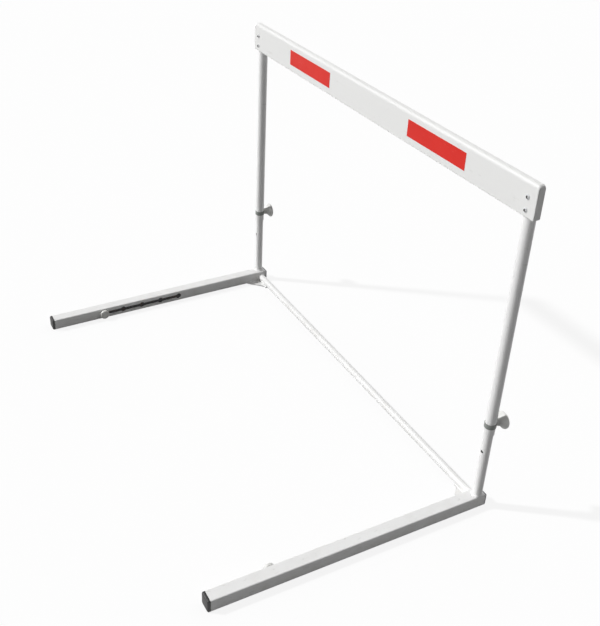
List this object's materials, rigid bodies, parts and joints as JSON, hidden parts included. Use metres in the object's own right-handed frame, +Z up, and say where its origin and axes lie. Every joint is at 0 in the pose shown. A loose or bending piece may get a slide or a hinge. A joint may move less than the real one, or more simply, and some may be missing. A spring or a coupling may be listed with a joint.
{
  "type": "track hurdle",
  "caption": "Track hurdle with a white board on telescopic uprights, long floor legs, spring height locks and sliding counterweights in the legs.",
  "frame": {"origin": "on the floor, in the middle of the hurdle's length and depth", "axes": "+X along the bar, -Y the side that the legs point to and the runner comes from, +Z up"},
  "size_m": [1.2, 0.7366, 0.8382],
  "materials": {
    "white_painted_steel": "satin",
    "painted_board": "satin",
    "red_vinyl": "satin",
    "black_plastic": "matte",
    "grey_plastic": "satin",
    "pale_plastic": "satin",
    "dark_band": "matte",
    "zinc_steel": "satin",
    "cast_iron": "matte"
  },
  "bodies": {
    "base": {"cross_tube": "white_painted_steel", "left_leg": "white_painted_steel", "left_gusset": "white_painted_steel", "left_front_cap": "black_plastic", "left_rear_cap": "grey_plastic", "left_inner_upright": "white_painted_steel", "right_leg": "white_painted_steel", "right_gusset": "white_painted_steel", "right_front_cap": "black_plastic", "right_rear_cap": "grey_plastic", "right_inner_upright": "white_painted_steel"},
    "bar_frame": {"top_bar": "painted_board", "left_outer_upright": "white_painted_steel", "left_red_panel": "red_vinyl", "left_clamp_band": "dark_band", "left_lock_barrel": "pale_plastic", "left_lock_spring": "zinc_steel", "left_upper_bolt": "zinc_steel", "left_lower_bolt": "zinc_steel", "left_upper_nut": "zinc_steel", "left_lower_nut": "zinc_steel", "right_outer_upright": "white_painted_steel", "right_red_panel": "red_vinyl", "right_clamp_band": "dark_band", "right_lock_barrel": "pale_plastic", "right_lock_spring": "zinc_steel", "right_upper_bolt": "zinc_steel", "right_lower_bolt": "zinc_steel", "right_upper_nut": "zinc_steel", "right_lower_nut": "zinc_steel"},
    "left_height_lock": {"left_lock_pin": "zinc_steel", "left_lock_knob": "pale_plastic"},
    "left_counterweight": {"left_weight": "cast_iron", "left_weight_spring": "zinc_steel"},
    "left_weight_lock": {"left_weight_stem": "zinc_steel", "left_weight_knob": "pale_plastic"},
    "right_height_lock": {"right_lock_pin": "zinc_steel", "right_lock_knob": "pale_plastic"},
    "right_counterweight": {"right_weight": "cast_iron", "right_weight_spring": "zinc_steel"},
    "right_weight_lock": {"right_weight_stem": "zinc_steel", "right_weight_knob": "pale_plastic"}
  },
  "joints": [
    {"name": "bar_height", "type": "slide", "parent": "base", "child": "bar_frame", "axis": [0, 0, 1], "range_m": [-0.0762, 0.2286]},
    {"name": "left_lock_pull", "type": "slide", "parent": "bar_frame", "child": "left_height_lock", "axis": [0, -1, 0], "range_m": [0, 0.0045], "stiffness_N_per_m": 400, "springref_m": 0.0125, "deforming": ["left_lock_spring"]},
    {"name": "left_weight_slide", "type": "slide", "parent": "base", "child": "left_counterweight", "axis": [0, 1, 0], "range_m": [0, 0.244]},
    {"name": "left_weight_lock_pull", "type": "slide", "parent": "left_counterweight", "child": "left_weight_lock", "axis": [-1, 0, 0], "range_m": [0, 0.0025], "stiffness_N_per_m": 600, "springref_m": 0.0105, "deforming": ["left_weight_spring"]},
    {"name": "right_lock_pull", "type": "slide", "parent": "bar_frame", "child": "right_height_lock", "axis": [0, -1, 0], "range_m": [0, 0.0045], "stiffness_N_per_m": 400, "springref_m": 0.0125, "deforming": ["right_lock_spring"]},
    {"name": "right_weight_slide", "type": "slide", "parent": "base", "child": "right_counterweight", "axis": [0, 1, 0], "range_m": [0, 0.244]},
    {"name": "right_weight_lock_pull", "type": "slide", "parent": "right_counterweight", "child": "right_weight_lock", "axis": [1, 0, 0], "range_m": [0, 0.0025], "stiffness_N_per_m": 600, "springref_m": 0.0105, "deforming": ["right_weight_spring"]}
  ]
}
